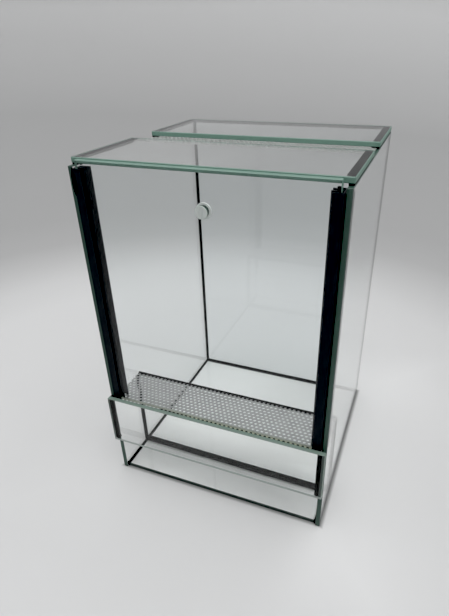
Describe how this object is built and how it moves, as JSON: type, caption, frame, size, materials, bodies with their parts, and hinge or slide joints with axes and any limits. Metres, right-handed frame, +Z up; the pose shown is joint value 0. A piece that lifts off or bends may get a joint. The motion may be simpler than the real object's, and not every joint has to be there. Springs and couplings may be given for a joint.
{
  "type": "reptile terrarium",
  "caption": "All-glass terrarium with a front pane that lifts in side guides, a front air inlet, and perforated metal vents in the floor duct and the lid.",
  "frame": {"origin": "on the standing surface, below the middle of the overall box", "axes": "+X to the right seen from the front, +Y from the lifting pane to the back pane, +Z up"},
  "size_m": [0.2, 0.206, 0.3023],
  "materials": {
    "float_glass": "clear 4 mm float glass with green, ground edges",
    "knob_glass": "clear glass disc with a fire-polished rim",
    "silicone_black": "tooled black silicone, satin",
    "guide_black": "extruded black plastic, semi-gloss",
    "perforated_aluminium": "mill finish, punched holes",
    "clear_adhesive": "clear bonding pad"
  },
  "bodies": {
    "enclosure": {"bottom_pane": "float_glass", "back_pane": "float_glass", "left_wall": "float_glass", "right_wall": "float_glass", "dam_pane": "float_glass", "front_strip": "float_glass", "top_front_pane": "float_glass", "top_rear_pane": "float_glass", "lower_vent_sheet": "perforated_aluminium", "upper_vent_sheet": "perforated_aluminium", "left_guide": "guide_black", "right_guide": "guide_black", "left_guide_bond": "silicone_black", "right_guide_bond": "silicone_black", "seal_floor_left": "silicone_black", "seal_floor_right": "silicone_black", "seal_floor_back": "silicone_black", "seal_back_left": "silicone_black", "seal_back_right": "silicone_black", "seal_dam_foot": "silicone_black", "seal_dam_left": "silicone_black", "seal_dam_right": "silicone_black", "seal_strip_left": "silicone_black", "seal_strip_right": "silicone_black", "seal_top_front_left": "silicone_black", "seal_top_front_right": "silicone_black", "seal_top_rear_left": "silicone_black", "seal_top_rear_right": "silicone_black", "seal_top_back": "silicone_black", "seal_lower_sheet": "silicone_black", "seal_upper_sheet_left": "silicone_black", "seal_upper_sheet_right": "silicone_black"},
    "front_door": {"lifting_pane": "float_glass", "knob": "knob_glass", "knob_pad": "clear_adhesive"}
  },
  "joints": [
    {"name": "door_lift", "type": "slide", "parent": "enclosure", "child": "front_door", "axis": [0, 0, 1], "range_m": [0, 0.2]}
  ]
}
